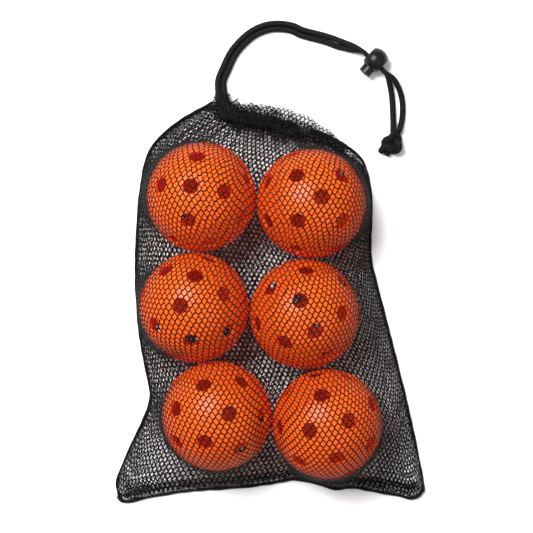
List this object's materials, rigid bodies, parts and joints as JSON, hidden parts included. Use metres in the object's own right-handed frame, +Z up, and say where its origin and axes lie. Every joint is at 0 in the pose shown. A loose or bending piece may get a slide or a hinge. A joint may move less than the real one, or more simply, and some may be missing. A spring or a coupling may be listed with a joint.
{
  "type": "pickleball balls in a drawstring mesh bag",
  "caption": "Hollow plastic pickleball balls with round holes, packed in a black knitted mesh bag with a drawcord, a sprung cord lock and a knot.",
  "frame": {"origin": "bottom centre of the bag with its balls, on the surface it lies on, without the free drawcord and what is on it", "axes": "+Z up from the surface, +Y from the closed bottom seam towards the mouth, +X to the right seen from above"},
  "size_m": [0.2109, 0.3317, 0.0781],
  "materials": {
    "ball_plastic": "bright orange moulded plastic with a soft gloss",
    "net": "black knitted polyester mesh with hexagonal openings",
    "seam_tape": "black overlocked polyester edge",
    "cord": "black braided polyester cord",
    "lock_plastic": "black moulded plastic, half gloss",
    "spring_steel": "bright spring wire"
  },
  "bodies": {
    "bag": {"front_panel": "net", "back_panel": "net", "left_seam": "seam_tape", "right_seam": "seam_tape", "bottom_seam": "seam_tape", "mouth_hem": "seam_tape", "drawcord_loop": "cord", "cord_strand_a": "cord", "cord_strand_b": "cord", "cord_knot": "cord", "cord_tail_a": "cord", "cord_tail_b": "cord"},
    "cord_lock": {"lock_barrel": "lock_plastic", "lock_spring": "spring_steel"},
    "plunger": {"lock_plunger": "lock_plastic"},
    "ball_1": {"ball_1_half_a": "ball_plastic", "ball_1_half_b": "ball_plastic"},
    "ball_2": {"ball_2_half_a": "ball_plastic", "ball_2_half_b": "ball_plastic"},
    "ball_3": {"ball_3_half_a": "ball_plastic", "ball_3_half_b": "ball_plastic"},
    "ball_4": {"ball_4_half_a": "ball_plastic", "ball_4_half_b": "ball_plastic"},
    "ball_5": {"ball_5_half_a": "ball_plastic", "ball_5_half_b": "ball_plastic"},
    "ball_6": {"ball_6_half_a": "ball_plastic", "ball_6_half_b": "ball_plastic"}
  },
  "joints": [
    {"name": "ball_1_roll", "type": "hinge", "parent": "bag", "child": "ball_1", "pos_m": [-0.0463, 0.0715, 0.0379], "axis": [1, 0, 0], "continuous": true},
    {"name": "ball_2_roll", "type": "hinge", "parent": "bag", "child": "ball_2", "pos_m": [0.02777, 0.0671, 0.0379], "axis": [1, 0, 0], "continuous": true},
    {"name": "ball_3_roll", "type": "hinge", "parent": "bag", "child": "ball_3", "pos_m": [-0.05096, -0.00255, 0.0379], "axis": [1, 0, 0], "continuous": true},
    {"name": "ball_4_roll", "type": "hinge", "parent": "bag", "child": "ball_4", "pos_m": [0.02311, -0.00695, 0.0379], "axis": [1, 0, 0], "continuous": true},
    {"name": "ball_5_roll", "type": "hinge", "parent": "bag", "child": "ball_5", "pos_m": [-0.03579, -0.07519, 0.0379], "axis": [1, 0, 0], "continuous": true},
    {"name": "ball_6_roll", "type": "hinge", "parent": "bag", "child": "ball_6", "pos_m": [0.03822, -0.08062, 0.0379], "axis": [1, 0, 0], "continuous": true},
    {"name": "lock_slide", "type": "slide", "parent": "bag", "child": "cord_lock", "axis": [0.7314, -0.682, 0], "range_m": [-0.003, 0.003]},
    {"name": "plunger_press", "type": "slide", "parent": "cord_lock", "child": "plunger", "axis": [0.682, 0.7314, 0], "range_m": [0, 0.0026], "stiffness_N_per_m": 800, "springref_m": -0.001, "deforming": ["lock_spring"]}
  ]
}
